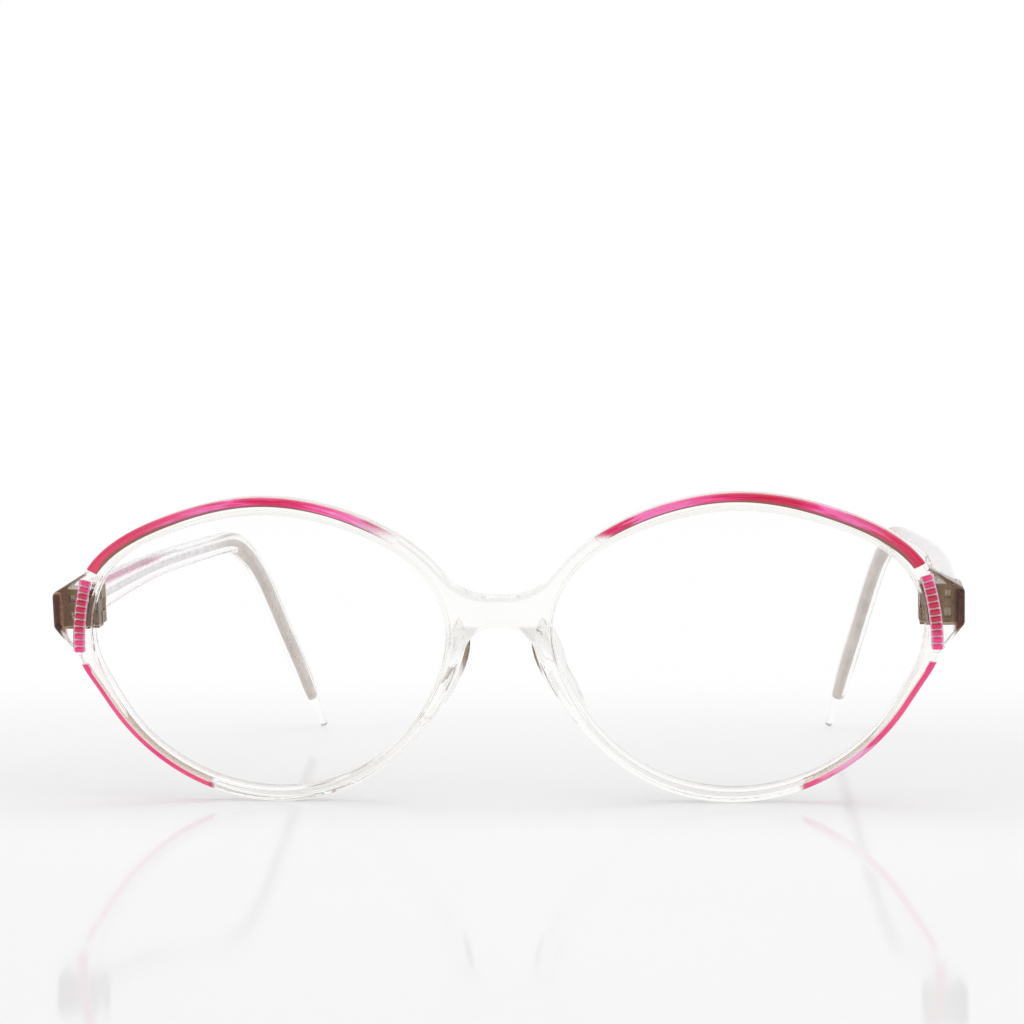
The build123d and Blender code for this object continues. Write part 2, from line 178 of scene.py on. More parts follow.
class EnamelSettings(bpy.types.PropertyGroup):
    """Enamel of the bands, the stripes and the ribs"""
    crimson: colour_property("Crimson", "Deepest colour of the enamel", shade(206, 20, 72))
    rose: colour_property("Rose", "Soft red of the enamel", shade(228, 62, 104))
    coral: colour_property("Coral", "Warm pink of the lower bands", shade(250, 84, 138))
    pink: colour_property("Pink", "Bright pink of the enamel", shade(240, 52, 128))
    light: colour_property("Light pink", "Light pink of the enamel", shade(250, 120, 188))
    blush: colour_property("Blush", "Palest pink of the enamel", shade(253, 176, 218))
    # Painted shade: a brown line along the inside of the brow bands, where the wall of their groove is in
    # shade
    brow_painted_shade: colour_property("Brown line", "Line along the inside of the brow bands", shade(128, 92, 74))
    # Painted light: a pale line along the inside of the lower bands, lighter than their inner wall in shade
    lower_painted_light: colour_property("Sand line", "Line along the inside of the lower bands", shade(250, 242, 222))
    # Painted highlight: a near white strip under the ribs stands for the white glints in the gaps between
    # them
    glint_pearl: colour_property("Pearl", "Pale ground under the ribs", shade(255, 252, 253))
    swell: length_property("Fit", "How far enamel and metal reach into the plastic round them", 0.03)
    bead_count: IntProperty(
        name="Ribs", description="Number of ribs in each column", min=1, max=30, default=11,
    )
    bead_width: length_property("Rib width", "Length of one rib across its column", 1.6)
    bead_height: length_property("Rib height", "Height of one rib along its column", 0.8)
    bead_depth: length_property("Rib depth", "Depth of one rib, front to back", 0.86)
    bead_round: length_property("Rib rounding", "Radius on the edges of a rib", 0.24)


class MetalSettings(bpy.types.PropertyGroup):
    """Metal of the hinges, the screws and the core wires"""
    gold: colour_property("Antique gold", "Hinge leaves", shade(142, 118, 92))
    steel: colour_property("Screw steel", "Hinge screws", (0.62, 0.58, 0.50))
    core_run: colour_property("Core wire, straight", "Core wire along the side", (0.90, 0.88, 0.88))
    core_ear: colour_property("Core wire, ear", "Core wire behind the ear", shade(228, 219, 212))


class StageSettings(bpy.types.PropertyGroup):
    """Floor, lamps and light all round"""
    floor_size: FloatProperty(
        name="Floor size", description="Side of the square floor",
        subtype="DISTANCE", unit="LENGTH", default=12.0,
    )
    board_low: colour_property("Board, darker", "Darker patches of the floor", (0.925, 0.925, 0.93))
    board_high: colour_property("Board, lighter", "Lighter patches of the floor", (0.945, 0.945, 0.95))
    room_front: colour_property("Room, in front", "Room behind the camera, in gloss", (0.36, 0.33, 0.28))
    room_side: colour_property("Room, beside", "Room at the sides, in gloss", (0.66, 0.64, 0.60))
    key_power: power_property("Key lamp", "Power of the large lamp overhead", 2.1)
    side_power: power_property("Side lamps", "Power of each lamp at the side", 1.2)
    room_level: FloatProperty(
        name="Room light", description="Level of the light all round", min=0, default=0.62,
    )


# Node helpers


def new_material(name):
    """A fresh node material with nothing in it, and its tree"""
    material = bpy.data.materials.new(name)
    material.use_nodes = True
    material.node_tree.nodes.clear()
    return material, material.node_tree


def node(tree, kind, **values):
    """Adds one node with its settings and plain input values"""
    made = tree.nodes.new(kind)
    for key, value in values.items():
        name = key.replace("_", " ")
        if name in made.inputs:
            made.inputs[name].default_value = value
        else:
            setattr(made, key, value)
    return made


def feed(tree, source, target):
    """Links a socket, or writes a plain value, into an input"""
    if isinstance(source, bpy.types.NodeSocket):
        tree.links.new(source, target)
    else:
        target.default_value = source


def maths(tree, operation, first, second=0.0):
    """The result of one Math node"""
    made = node(tree, "ShaderNodeMath", operation=operation)
    feed(tree, first, made.inputs[0])
    feed(tree, second, made.inputs[1])
    return made.outputs[0]


def product(tree, *masks):
    """Masks multiplied in turn"""
    whole = masks[0]
    for mask in masks[1:]:
        whole = maths(tree, "MULTIPLY", whole, mask)
    return whole


def fade(tree, source, start, end):
    """A mask that rises from 0 at start to 1 at end"""
    made = node(tree, "ShaderNodeMapRange", From_Min=start, From_Max=end, interpolation_type="SMOOTHSTEP")
    feed(tree, source, made.inputs["Value"])
    return made.outputs["Result"]


def drop(tree, source, start, end):
    """A mask that falls from 1 at start to 0 at end"""
    return maths(tree, "SUBTRACT", 1.0, fade(tree, source, start, end))


def window(tree, source, start, full, last, end):
    """A mask that rises from start to full, stays, and falls from last to end"""
    return product(tree, fade(tree, source, start, full), drop(tree, source, last, end))


def mixed(tree, mask, first, second):
    """Two colours mixed by a mask"""
    made = node(tree, "ShaderNodeMix", data_type="RGBA")
    feed(tree, mask, made.inputs["Factor"])
    for source, target in ((first, made.inputs[6]), (second, made.inputs[7])):
        feed(tree, source if isinstance(source, bpy.types.NodeSocket) else (*source, 1), target)
    return made.outputs[2]


def blended(tree, mask, first, second):
    """Two shaders mixed by a mask"""
    made = tree.nodes.new("ShaderNodeMixShader")
    feed(tree, mask, made.inputs["Fac"])
    feed(tree, first.outputs[0], made.inputs[1])
    feed(tree, second.outputs[0], made.inputs[2])
    return made


def ramp(tree, source, stops):
    """A colour from a value, by places and colours"""
    made = tree.nodes.new("ShaderNodeValToRGB")
    elements = made.color_ramp.elements
    elements.remove(elements[-1])
    elements[0].position = stops[0][0]
    elements[0].color = (*stops[0][1], 1)
    for position, colour in stops[1:]:
        elements.new(position).color = (*colour, 1)
    feed(tree, source, made.inputs["Fac"])
    return made.outputs["Color"]


def noise(tree, vector, scale, detail=2.0, roughness=0.5):
    """A noise value on a vector"""
    made = node(tree, "ShaderNodeTexNoise", Detail=detail, Roughness=roughness)
    feed(tree, vector, made.inputs["Vector"])
    feed(tree, scale, made.inputs["Scale"])
    return made.outputs["Fac"]


def object_place(tree):
    """Object coordinates of the surface"""
    return tree.nodes.new("ShaderNodeTexCoord").outputs["Object"]


def back_part(tree, vector):
    """The Y part of a vector"""
    parts = tree.nodes.new("ShaderNodeSeparateXYZ")
    feed(tree, vector, parts.inputs[0])
    return parts.outputs["Y"]


def ray(tree, title):
    """One value of the light path"""
    return tree.nodes.new("ShaderNodeLightPath").outputs[title]


def mottled(tree, first, second, scale, detail=2.0, low=0.3, high=0.7):
    """A colour that drifts between two over the surface"""
    return ramp(tree, noise(tree, object_place(tree), scale, detail), [(low, first), (high, second)])


def front_place(tree):
    """Millimetres out from the middle, up along and back from the front's own face"""
    offset = node(tree, "ShaderNodeVectorMath", operation="SUBTRACT")
    feed(tree, object_place(tree), offset.inputs[0])
    feed(tree, FOOT, offset.inputs[1])
    numbers = []
    for axis in (ACROSS, UP, BACK):
        dot = node(tree, "ShaderNodeVectorMath", operation="DOT_PRODUCT")
        feed(tree, offset.outputs["Vector"], dot.inputs[0])
        feed(tree, axis / MM, dot.inputs[1])
        numbers.append(dot.outputs["Value"])
    return maths(tree, "ABSOLUTE", numbers[0]), numbers[1], numbers[2]


def moulded_group():
    """Soft waviness and faint handling marks of a moulded surface, built once"""
    name = "Moulded surface"
    if name in bpy.data.node_groups:
        return bpy.data.node_groups[name]
    tree = bpy.data.node_groups.new(name, "ShaderNodeTree")
    for title in ("Wave scale", "Wave depth", "Gloss low", "Gloss high"):
        tree.interface.new_socket(title, in_out="INPUT", socket_type="NodeSocketFloat")
    tree.interface.new_socket("Roughness", in_out="OUTPUT", socket_type="NodeSocketFloat")
    tree.interface.new_socket("Normal", in_out="OUTPUT", socket_type="NodeSocketVector")
    given = tree.nodes.new("NodeGroupInput").outputs
    wanted = tree.nodes.new("NodeGroupOutput").inputs
    spot = object_place(tree)

    bump = node(tree, "ShaderNodeBump", Distance=BUMP_DEPTH)
    waves = noise(tree, spot, given["Wave scale"], detail=1.0, roughness=0.4)
    feed(tree, given["Wave depth"], bump.inputs["Strength"])
    feed(tree, waves, bump.inputs["Height"])
    feed(tree, bump.outputs["Normal"], wanted["Normal"])

    low, high = GLOSS_NOISE
    spread = node(tree, "ShaderNodeMapRange", From_Min=low, From_Max=high)
    marks = noise(tree, spot, GLOSS_SCALE, detail=4.0, roughness=0.65)
    feed(tree, marks, spread.inputs["Value"])
    feed(tree, given["Gloss low"], spread.inputs["To Min"])
    feed(tree, given["Gloss high"], spread.inputs["To Max"])
    feed(tree, spread.outputs["Result"], wanted["Roughness"])
    return tree


def surface(tree, shader, **values):
    """Wires the moulded surface group into one shader, with this material's own values"""
    made = node(tree, "ShaderNodeGroup", node_tree=moulded_group(), **values)
    feed(tree, made.outputs["Roughness"], shader.inputs["Roughness"])
    feed(tree, made.outputs["Normal"], shader.inputs["Normal"])


def finish_shader(tree, shader, shadow=None):
    """Ends a material. With a shadow colour, lamps and long trapped rays pass straight through"""
    if shadow is not None:
        trapped = maths(tree, "GREATER_THAN", ray(tree, "Glossy Depth"), TRAPPED_BOUNCES)
        passed = maths(tree, "MAXIMUM", ray(tree, "Is Shadow Ray"), trapped)
        film = node(tree, "ShaderNodeBsdfTransparent", Color=(*shadow, 1))
        shader = blended(tree, passed, shader, film)
    output = tree.nodes.new("ShaderNodeOutputMaterial")
    feed(tree, shader.outputs[0], output.inputs["Surface"])


def clear_plastic(name, tint, ior, waves=0.12, deepen=None):
    """Clear moulded plastic, with deeper colours where a function gives them"""
    material, tree = new_material(name)
    shader = node(tree, "ShaderNodeBsdfPrincipled", IOR=ior, Transmission_Weight=1.0)
    colour = mottled(tree, tint, toned(tint, 1.02), scale=55.0)
    surface(tree, shader, Wave_scale=150.0, Wave_depth=waves, Gloss_low=0.01, Gloss_high=0.035)
    if deepen is not None:
        colour, frosted = deepen(tree, colour)
        smooth = shader.inputs["Roughness"].links[0].from_socket
        rough = maths(tree, "ADD", smooth, product(tree, frosted, FROST_SHARE))
        feed(tree, rough, shader.inputs["Roughness"])
    feed(tree, colour, shader.inputs["Base Color"])
    finish_shader(tree, shader, tint)
    return material


def metal(name, colour, low, high, far_colour=None, turn=None):
    """Plated metal with fine brushing, towards another colour further back"""
    material, tree = new_material(name)
    shader = node(tree, "ShaderNodeBsdfPrincipled", Metallic=1.0)
    spot = object_place(tree)
    grain = noise(tree, spot, scale=900.0, detail=5.0, roughness=0.7)
    brushed = ramp(tree, grain, [(0.25, toned(colour, 0.7)), (0.5, colour), (0.8, toned(colour, 1.12))])
    if far_colour is not None:
        plain = mottled(tree, toned(far_colour, 0.86), far_colour, scale=260.0, detail=3.0)
        start, end = turn
        further = fade(tree, back_part(tree, spot), start * MM, end * MM)
        brushed = mixed(tree, further, brushed, plain)
    feed(tree, brushed, shader.inputs["Base Color"])
    surface(tree, shader, Wave_scale=600.0, Wave_depth=0.3, Gloss_low=low, Gloss_high=high)
    finish_shader(tree, shader)
    return material


def enamel(name, stops, edge, line, painted_line_share, narrowing, fade_start):
    """Glossy enamel that changes along and across its band, has a painted inner line for the shade and light
    of its inner wall, and fades at its far end
    """
    material, tree = new_material(name)
    shader = node(tree, "ShaderNodeBsdfPrincipled", IOR=1.5, Coat_Weight=0.5, Coat_Roughness=0.04)
    along = node(tree, "ShaderNodeAttribute", attribute_name="along").outputs["Fac"]
    across = node(tree, "ShaderNodeAttribute", attribute_name="across").outputs["Fac"]

    threads = tree.nodes.new("ShaderNodeCombineXYZ")
    feed(tree, product(tree, along, STREAKS_ALONG), threads.inputs[0])
    feed(tree, product(tree, across, STREAKS_ACROSS), threads.inputs[1])
    streak = noise(tree, threads.outputs[0], scale=1.0, detail=3.0, roughness=0.6)
    shift = product(tree, maths(tree, "SUBTRACT", streak, MIDDLE), STREAK_SHIFT)
    colour = ramp(tree, maths(tree, "ADD", along, shift), stops)

    rim = product(tree, fade(tree, across, *EDGE_RISE), fade(tree, streak, *EDGE_PATCHES))
    colour = mixed(tree, rim, colour, edge)
    # The inner line is painted shade on the brow bands and painted light on the lower bands, for the enamel's
    # inner wall seen through the plastic
    narrowed = maths(tree, "ADD", across, product(tree, along, narrowing))
    inner = drop(tree, narrowed, painted_line_share, painted_line_share + PAINTED_LINE_SOFTNESS)
    colour = mixed(tree, product(tree, inner, PAINTED_LINE_STRENGTH), colour, line)
    feed(tree, colour, shader.inputs["Base Color"])

    slant = product(tree, maths(tree, "SUBTRACT", MIDDLE, across), END_SLANT)
    present = drop(tree, maths(tree, "ADD", along, slant), fade_start, 1.0)
    feed(tree, present, shader.inputs["Alpha"])
    surface(tree, shader, Wave_scale=260.0, Wave_depth=0.15, Gloss_low=0.03, Gloss_high=0.12)
    finish_shader(tree, shader)
    return material


# Mesh helpers


def clear_selection():
    """Leaves nothing selected and no mode open"""
    if bpy.context.object is not None and bpy.context.object.mode != "OBJECT":
        bpy.ops.object.mode_set(mode="OBJECT")
    bpy.ops.object.select_all(action="DESELECT")


def activate(*objects):
    """Selects these objects alone, the first one active"""
    clear_selection()
    for each in objects:
        each.select_set(True)
    bpy.context.view_layer.objects.active = objects[0]


def dressed_copy(source, name, angle, swell=0.0, one_shell=False):
    """A merged, smoothly shaded copy of one CAD node, at the origin, a little swollen if asked"""
    copied = bpy.data.objects.new(name, frame["nodes"][source].data.copy())
    bpy.context.scene.collection.objects.link(copied)
    copied.data.materials.clear()
    activate(copied)
    bpy.ops.object.mode_set(mode="EDIT")
    bpy.ops.mesh.select_all(action="SELECT")
    bpy.ops.mesh.remove_doubles(threshold=MERGE_GAP)
    if swell:
        bpy.ops.transform.shrink_fatten(value=swell)
    bpy.ops.object.mode_set(mode="OBJECT")
    if one_shell:
        keep_largest_shell(copied)
    bpy.ops.mesh.customdata_custom_splitnormals_clear()
    bpy.ops.object.shade_smooth_by_angle(angle=angle)
    weigh = copied.modifiers.new("Even normals", "WEIGHTED_NORMAL")
    weigh.keep_sharp = True
    bpy.ops.object.modifier_apply(modifier="Even normals")
    return copied


def keep_largest_shell(piece):
    """Keeps only the largest connected shell of a piece"""
    mesh = bmesh.new()
    mesh.from_mesh(piece.data)
    left = set(mesh.faces)
    shells = []
    while left:
        stack = [left.pop()]
        shell = set(stack)
        while stack:
            for edge in stack.pop().edges:
                for face in edge.link_faces:
                    if face not in shell:
                        shell.add(face)
                        stack.append(face)
        left -= shell
        shells.append(shell)
    shells.sort(key=lambda shell: sum(face.calc_area() for face in shell))
    for shell in shells[:-1]:
        bmesh.ops.delete(mesh, geom=list(shell), context="FACES")
    mesh.to_mesh(piece.data)
    mesh.free()


def between(pairs, place_at):
    """A value read between sorted pairs of place and value"""
    for (near, first), (far, second) in zip(pairs, pairs[1:]):
        if place_at <= far:
            return first + (second - first) * max(place_at - near, 0) / (far - near)
    return pairs[-1][1]


def mark_band(piece, sign, step=radians(5)):
    """Writes on each point how far along its band it lies, from the lug, and how far across, from the lens"""
    spots = []
    for vertex in piece.data.vertices:
        x, v, _ = front_numbers(vertex.co)
        out = x * sign - LENS_X
        rise = v - LENS_V
        spots.append((atan2(rise, out), hypot(rise, out)))
    low = min(angle for angle, radius in spots)
    high = max(angle for angle, radius in spots)
    bins = {}
    for spot in spots:
        bins.setdefault(int((spot[0] - low) / step), []).append(spot)
    inner = sorted(min(group, key=lambda spot: spot[1]) for group in bins.values())
    outer = sorted(max(group, key=lambda spot: spot[1]) for group in bins.values())
    along = piece.data.attributes.new("along", "FLOAT", "POINT")
    across = piece.data.attributes.new("across", "FLOAT", "POINT")
    from_top = high > pi / 2
    for i, (angle, radius) in enumerate(spots):
        near = between(inner, angle)
        far = between(outer, angle)
        share = (angle - low) / (high - low)
        along.data[i].value = share if from_top else 1 - share
        across.data[i].value = (radius - near) / (far - near)


def hand_over(piece, material, body, slot_name, *nodes):
    """Gives a finished piece its material and its body, and hides the nodes it stands for"""
    piece.data.materials.append(material)
    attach(piece, body)
    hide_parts(*nodes)


# Operators, one for each piece or group of like pieces


class GLASSES_OT_front(bpy.types.Operator):
    """Dress the clear moulded front"""
    bl_idname = "glasses.front"
    bl_label = "Front"

    # Where the deeper tints start and are full, in millimetres out, up along and back
    block_out = (60.4, 61.2)
    block_back = (5.4, 6.4)
    block_top = (31.5, 31.9)
    cap_out = (65.9, 66.6)

    # Where the painted shade on the walls of the nose arch starts, is full, is last full and ends
    arch_shade_out = (1.6, 3.4, 5.6, 6.4)
    arch_shade_up = (15.0, 22.0, 25.8, 26.5)
    arch_shade_back = (0.6, 1.4, 3.2, 4.4)

    def execute(self, context):
        plastic = context.scene.glasses_plastic
        material = clear_plastic(
            "Clear front plastic", plastic.clear_tint, plastic.plastic_ior, deepen=self.deepened,
        )
        piece = dressed_copy("front", "moulded_front", plastic.smooth_angle)
        hand_over(piece, material, "front", "clear_front", "front")
        return {"FINISHED"}

    def deepened(self, tree, colour):
        """The colour with its deeper tints at the lug, painted shade on the walls of the nose arch, and a
        mask of the arch
        """
        plastic = bpy.context.scene.glasses_plastic
        out, up, back = front_place(tree)
        below = drop(tree, up, *self.block_top)
        block = product(tree, fade(tree, out, *self.block_out), fade(tree, back, *self.block_back), below)
        colour = mixed(tree, block, colour, plastic.lug_tint)
        cap = product(tree, fade(tree, out, *self.cap_out), below)
        dark_cap = toned(plastic.cap_tint, 0.7)
        rust = mottled(tree, dark_cap, plastic.cap_tint, scale=700.0, detail=3.0, high=0.65)
        colour = mixed(tree, cap, colour, rust)
        # Painted shade on the walls of the nose arch; the same mask also frosts them
        arch = product(
            tree, window(tree, out, *self.arch_shade_out), window(tree, up, *self.arch_shade_up),
            window(tree, back, *self.arch_shade_back),
        )
        return mixed(tree, arch, colour, plastic.arch_painted_shade), arch


class GLASSES_OT_lenses(bpy.types.Operator):
    """Dress the two lenses"""
    bl_idname = "glasses.lenses"
    bl_label = "Lenses"

    def execute(self, context):
        plastic = context.scene.glasses_plastic
        material = clear_plastic("Clear lens plastic", plastic.lens_tint, plastic.lens_ior, waves=0.0)
        for side in SIDES:
            piece = dressed_copy("lens_" + side, "clear_lens_" + side, plastic.smooth_angle)
            hand_over(piece, material, "front", "clear_lens", "lens_" + side)
        return {"FINISHED"}


class GLASSES_OT_bands(bpy.types.Operator):
    """Dress the pink enamel bands of the rims"""
    bl_idname = "glasses.bands"
    bl_label = "Enamel bands"

    # Runs of colour of each band, as shares of its length from the lug
    runs = {
        "brow_left": (
            (0.0, "crimson"), (0.1, "rose"), (0.22, "light"), (0.32, "pink"), (0.4, "crimson"),
            (0.52, "crimson"), (0.62, "pink"), (0.74, "light"), (0.87, "light"), (0.92, "crimson"),
            (1.0, "pink"),
        ),
        "brow_right": (
            (0.0, "rose"), (0.18, "rose"), (0.38, "light"), (0.5, "pink"), (0.62, "crimson"),
            (0.7, "pink"), (0.8, "light"), (0.92, "blush"),
        ),
        "lower_left": (
            (0.0, "pink"), (0.3, "coral"), (0.48, "pink"), (0.6, "blush"), (0.72, "blush"), (0.88, "coral"),
        ),
        "lower_right": ((0.0, "pink"), (0.35, "coral"), (0.62, "pink"), (0.85, "coral")),
    }

    # Share of each band's width that its painted inner line takes, and of its length where it starts to fade
    painted_line_shares = {"brow_left": 0.26, "brow_right": 0.26, "lower_left": 0.03, "lower_right": 0.08}
    fade_shares = {"brow_left": 0.95, "brow_right": 0.86, "lower_left": 0.95, "lower_right": 0.95}

    # How much narrower the painted shade line of a brow band gets towards the nose, as a share of the width
    narrowing_share = 0.2

    def execute(self, context):
        angle = context.scene.glasses_plastic.smooth_angle
        colours = context.scene.glasses_enamel
        finishes = {
            # The line colours are painted shade on the brow bands and painted light on the lower bands
            "brow": (colours.crimson, colours.brow_painted_shade, self.narrowing_share),
            "lower": (colours.pink, colours.lower_painted_light, 0.0),
        }
        for side, sign in SIDES.items():
            for name, (edge, line, narrowing) in finishes.items():
                band = f"{name}_{side}"
                stops = [(share, getattr(colours, colour)) for share, colour in self.runs[band]]
                material = enamel(
                    f"{name.capitalize()} enamel, {side}", stops, edge, line,
                    self.painted_line_shares[band], narrowing, self.fade_shares[band],
                )
                source = f"{name}_enamel_{side}"
                piece = dressed_copy(source, f"{name}_band_{side}", angle, colours.swell)
                mark_band(piece, sign)
                hand_over(piece, material, "front", "pink_enamel", source)
        return {"FINISHED"}


class GLASSES_OT_ribs(bpy.types.Operator):
    """Model the columns of small ribs beside the lugs"""
    bl_idname = "glasses.ribs"
    bl_label = "Ribs"

    # The arc that the columns follow, the pitch of the ribs and the floor of their channel
    arc_x = 28.05
    foot_v = 23.2
    arc_radius = 35.7
    pitch = 1.03
    floor_w = 1.95

    # How deep a rib is sunk in the floor, and how its edges are rounded
    sink = 0.06
    round_steps = 4
    round_angle = radians(50)

    # The pale strip, painted highlight for the glints between the ribs: how far it stands off the floor and
    # past the ribs, its thickness and its steps
    strip_lift = 0.3
    strip_overhang = 0.1
    strip_thickness = 0.05
    strip_steps = 40

    # Where a rib's colour turns lighter, off the middle of its column, and below and above the hinge, whose
    # painted shade deepens the middle ribs
    end_fade = (0.5, 0.85)
    below_hinge_fade = (0.5, 4.2)
    above_hinge_fade = (7.4, 10.4)
    above_hinge_strength = 0.7
    cloud_share = 0.5

    def execute(self, context):
        colours = context.scene.glasses_enamel
        ribs = self.rib_material(colours)
        ground = self.glint_strip_material(colours)
        for side, sign in SIDES.items():
            beads = [self.bead(colours, sign, i) for i in range(colours.bead_count)]
            activate(*beads)
            bpy.ops.object.join()
            column = context.object
            column.name = "ribs_" + side
            column.data.name = column.name
            hand_over(column, ribs, "front", "pink_ribs", "rib_beads_" + side)
            # A pale strip under each column, painted highlight for the glints between the ribs
            strip = self.ground(colours, sign)
            strip.name = "rib_ground_" + side
            strip.data.name = strip.name
            strip.data.materials.append(ground)
            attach(strip, "front")
        return {"FINISHED"}

    def spot(self, sign, turn, out, w):
        """A point of the column, by its turn along the arc and its distance out from it"""
        radius = self.arc_radius + out
        return place(sign * (self.arc_x + radius * cos(turn)), self.foot_v + radius * sin(turn), w)

    def bead(self, colours, sign, index):
        """One rounded bar across the column"""
        turn = index * self.pitch / self.arc_radius
        depth = colours.bead_depth
        clear_selection()
        bpy.ops.mesh.primitive_cube_add(size=1, location=(0, 0, 0))
        bead = bpy.context.object
        basis = Matrix((ACROSS, BACK, UP)).transposed()
        tilt = Matrix.Rotation(-sign * turn, 3, "Y")
        size = Matrix.Diagonal((colours.bead_width, depth, colours.bead_height, 1))
        centre = self.spot(sign, turn, 0, self.floor_w + self.sink - depth / MM / 2)
        bead.matrix_world = Matrix.Translation(centre) @ (basis @ tilt).to_4x4() @ size
        bpy.ops.object.transform_apply(location=True, rotation=True, scale=True)
        bevel = bead.modifiers.new("Rounding", "BEVEL")
        bevel.width = colours.bead_round
        bevel.segments = self.round_steps
        bpy.ops.object.modifier_apply(modifier="Rounding")
        bpy.ops.object.shade_smooth_by_angle(angle=self.round_angle)
        return bead

    def ground(self, colours, sign):
        """A thin pale strip above the floor of the channel, under the ribs, painted highlight for the glints
        between them
        """
        clear_selection()
        bpy.ops.mesh.primitive_grid_add(
            x_subdivisions=2, y_subdivisions=self.strip_steps, size=1, location=(0, 0, 0),
        )
        strip = bpy.context.object
        span = (colours.bead_count - 1) * self.pitch / self.arc_radius
        half = colours.bead_width / MM / 2 + self.strip_overhang
        for vertex in strip.data.vertices:
            out = 2 * vertex.co.x * half
            turn = (vertex.co.y + MIDDLE) * span
            vertex.co = self.spot(sign, turn, out, self.floor_w - self.strip_lift)
        skin = strip.modifiers.new("Thickness", "SOLIDIFY")
        skin.thickness = self.strip_thickness * MM
        skin.offset = 0
        bpy.ops.object.modifier_apply(modifier="Thickness")
        bpy.ops.object.mode_set(mode="EDIT")
        bpy.ops.mesh.select_all(action="SELECT")
        bpy.ops.mesh.normals_make_consistent(inside=False)
        bpy.ops.object.mode_set(mode="OBJECT")
        return strip

    def glint_strip_material(self, colours):
        """Near white strip with a faint mottle, painted highlight for the glints between the ribs"""
        material, tree = new_material("Pearl ground")
        shader = node(tree, "ShaderNodeBsdfPrincipled", IOR=1.5, Coat_Weight=0.5)
        glint_pearl = mottled(tree, toned(colours.glint_pearl, 0.95), colours.glint_pearl, scale=700.0)
        feed(tree, glint_pearl, shader.inputs["Base Color"])
        surface(tree, shader, Wave_scale=500.0, Wave_depth=0.1, Gloss_low=0.1, Gloss_high=0.25)
        finish_shader(tree, shader)
        return material

    def rib_material(self, colours):
        """Enamel that looks translucent: deep in the middle of each rib and lighter at its ends, and deeper
        on the middle ribs as painted shade of the hinge behind them
        """
        material, tree = new_material("Rib enamel")
        shader = node(tree, "ShaderNodeBsdfPrincipled", IOR=1.5, Coat_Weight=0.8, Coat_Roughness=0.03)
        out, up, _ = front_place(tree)
        side = maths(tree, "SUBTRACT", out, self.arc_x)
        rise = maths(tree, "SUBTRACT", up, self.foot_v)
        squares = maths(tree, "ADD", product(tree, side, side), product(tree, rise, rise))
        radius = maths(tree, "SQRT", squares)
        off = maths(tree, "ABSOLUTE", maths(tree, "SUBTRACT", radius, self.arc_radius))

        crimson = colours.crimson
        pink = colours.pink
        light = colours.light
        cloud = noise(tree, object_place(tree), scale=900.0)
        depth = maths(tree, "ADD", fade(tree, off, *self.end_fade), product(tree, cloud, self.cloud_share))
        deep = ramp(tree, depth, [(0.2, toned(crimson, 0.85)), (0.45, crimson), (0.8, pink), (1.0, light)])
        pale = ramp(tree, depth, [(0.2, pink), (0.7, light)])
        # Ribs below and above the hinge are lighter; the middle ribs keep the deep colours, painted shade of
        # the hinge seen through them
        low = drop(tree, rise, *self.below_hinge_fade)
        high = product(tree, fade(tree, rise, *self.above_hinge_fade), self.above_hinge_strength)
        feed(tree, mixed(tree, maths(tree, "MAXIMUM", low, high), deep, pale), shader.inputs["Base Color"])
        surface(tree, shader, Wave_scale=700.0, Wave_depth=0.2, Gloss_low=0.04, Gloss_high=0.12)
        finish_shader(tree, shader)
        return material


class GLASSES_OT_hinges(bpy.types.Operator):
    """Dress the hinge leaves and the hinge screws"""
    bl_idname = "glasses.hinges"
    bl_label = "Hinges"

    def execute(self, context):
        angle = context.scene.glasses_plastic.smooth_angle
        swell = context.scene.glasses_enamel.swell
        metals = context.scene.glasses_metal
        gold = metal("Antique gold plate", metals.gold, low=0.25, high=0.45)
        steel = metal("Turned screw steel", metals.steel, low=0.15, high=0.3)
        for side in SIDES:
            leaf = dressed_copy("front_hinge_" + side, "lug_hinge_" + side, angle, swell)
            hand_over(leaf, gold, "front", "hinge_metal", "front_hinge_" + side)
            leaf = dressed_copy("temple_hinge_" + side, "arm_hinge_" + side, angle, swell)
            hand_over(leaf, gold, "temple_" + side, "hinge_metal", "temple_hinge_" + side)
            screw = dressed_copy("hinge_screw_" + side, "screw_" + side, angle)
            hand_over(screw, steel, "front", "screw_steel", "hinge_screw_" + side)
        return {"FINISHED"}


